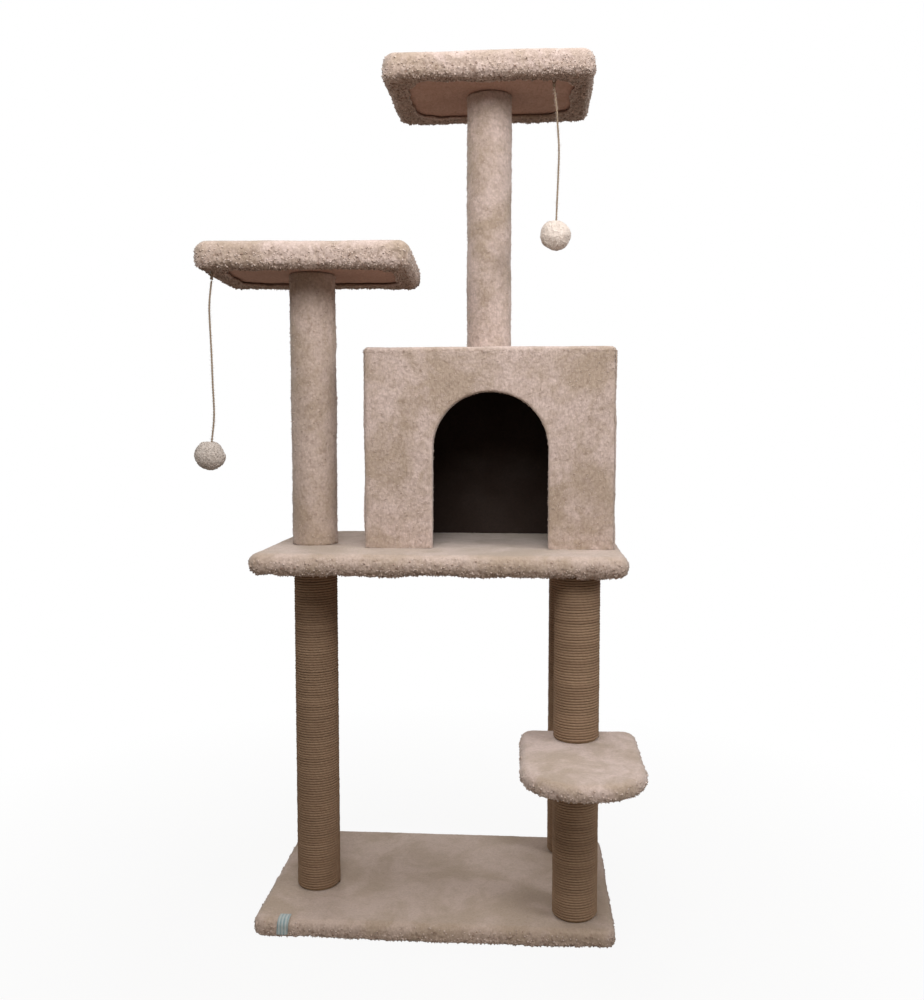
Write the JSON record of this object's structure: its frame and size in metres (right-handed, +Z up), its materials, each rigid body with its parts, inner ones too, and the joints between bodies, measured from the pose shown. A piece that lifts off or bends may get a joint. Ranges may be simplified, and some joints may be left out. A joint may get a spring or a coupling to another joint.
{
  "type": "cat tree",
  "caption": "Plush-covered cat tree: base, twine-wound posts, half-round step, mid platform with an arched condo, raised square perches and hanging ball toys.",
  "frame": {"origin": "on the floor, under the middle of the whole tree's outline without its hanging toys", "axes": "+Z up; the condo's door and the step face -Y; the condo is on the +X side"},
  "size_m": [0.6983, 0.501, 1.383],
  "materials": {
    "plush": "short curly beige plush",
    "twine": "tightly wound natural-fibre twine",
    "cardboard": "spiral-wound paper tube",
    "board": "raw pressed fibre board",
    "plug_wood": "turned softwood",
    "foam": "soft foam sheet",
    "zinc_steel": "zinc-plated",
    "toy_plush": "curly plush ball",
    "toy_core": "stuffing",
    "toy_string": "two-ply jute twine",
    "tag": "plain woven ribbon"
  },
  "bodies": {
    "tree": {"back_right_post_tube": "cardboard", "back_right_post_twine": "twine", "base_board": "board", "base_bolts": "zinc_steel", "base_cover": "plush", "base_tag": "tag", "bolt_washers": "zinc_steel", "condo_back_board": "board", "condo_front_board": "board", "condo_left_board": "board", "condo_right_board": "board", "condo_roof_board": "board", "condo_roof_bolt": "zinc_steel", "condo_roof_cover": "plush", "condo_screws": "zinc_steel", "condo_wall_cover": "plush", "cover_staples": "zinc_steel", "front_right_lower_post_tube": "cardboard", "front_right_lower_post_twine": "twine", "front_right_upper_post_tube": "cardboard", "front_right_upper_post_twine": "twine", "left_lower_post_tube": "cardboard", "left_lower_post_twine": "twine", "left_perch_board": "board", "left_perch_cover": "plush", "left_perch_pad": "foam", "left_post_stud": "zinc_steel", "left_toy_staple": "zinc_steel", "left_upper_post_plush": "plush", "left_upper_post_tube": "cardboard", "perch_bolts": "zinc_steel", "platform_board": "board", "platform_bolts": "zinc_steel", "platform_cover": "plush", "post_end_plugs": "plug_wood", "right_toy_staple": "zinc_steel", "step_board": "board", "step_cover": "plush", "step_stud": "zinc_steel", "threaded_inserts": "zinc_steel", "top_perch_board": "board", "top_perch_cover": "plush", "top_perch_pad": "foam", "top_post_plush": "plush", "top_post_tube": "cardboard"},
    "left_toy_hanger": {"left_toy_loop": "toy_string"},
    "left_toy": {"left_toy_string": "toy_string", "left_ball_cover": "toy_plush", "left_ball_core": "toy_core"},
    "right_toy_hanger": {"right_toy_loop": "toy_string"},
    "right_toy": {"right_toy_string": "toy_string", "right_ball_cover": "toy_plush", "right_ball_core": "toy_core"}
  },
  "joints": [
    {"name": "left_toy_side_swing", "type": "hinge", "parent": "tree", "child": "left_toy_hanger", "pos_m": [-0.321, -0.051, 1.0428], "axis": [0, 1, 0], "range_deg": [-45, 45]},
    {"name": "left_toy_fore_swing", "type": "hinge", "parent": "left_toy_hanger", "child": "left_toy", "pos_m": [-0.321, -0.051, 1.0354], "axis": [1, 0, 0], "range_deg": [-50, 50]},
    {"name": "right_toy_side_swing", "type": "hinge", "parent": "tree", "child": "right_toy_hanger", "pos_m": [0.209, 0.024, 1.3478], "axis": [0, 1, 0], "range_deg": [-30, 30]},
    {"name": "right_toy_fore_swing", "type": "hinge", "parent": "right_toy_hanger", "child": "right_toy", "pos_m": [0.209, 0.024, 1.3404], "axis": [1, 0, 0], "range_deg": [-50, 50]}
  ]
}
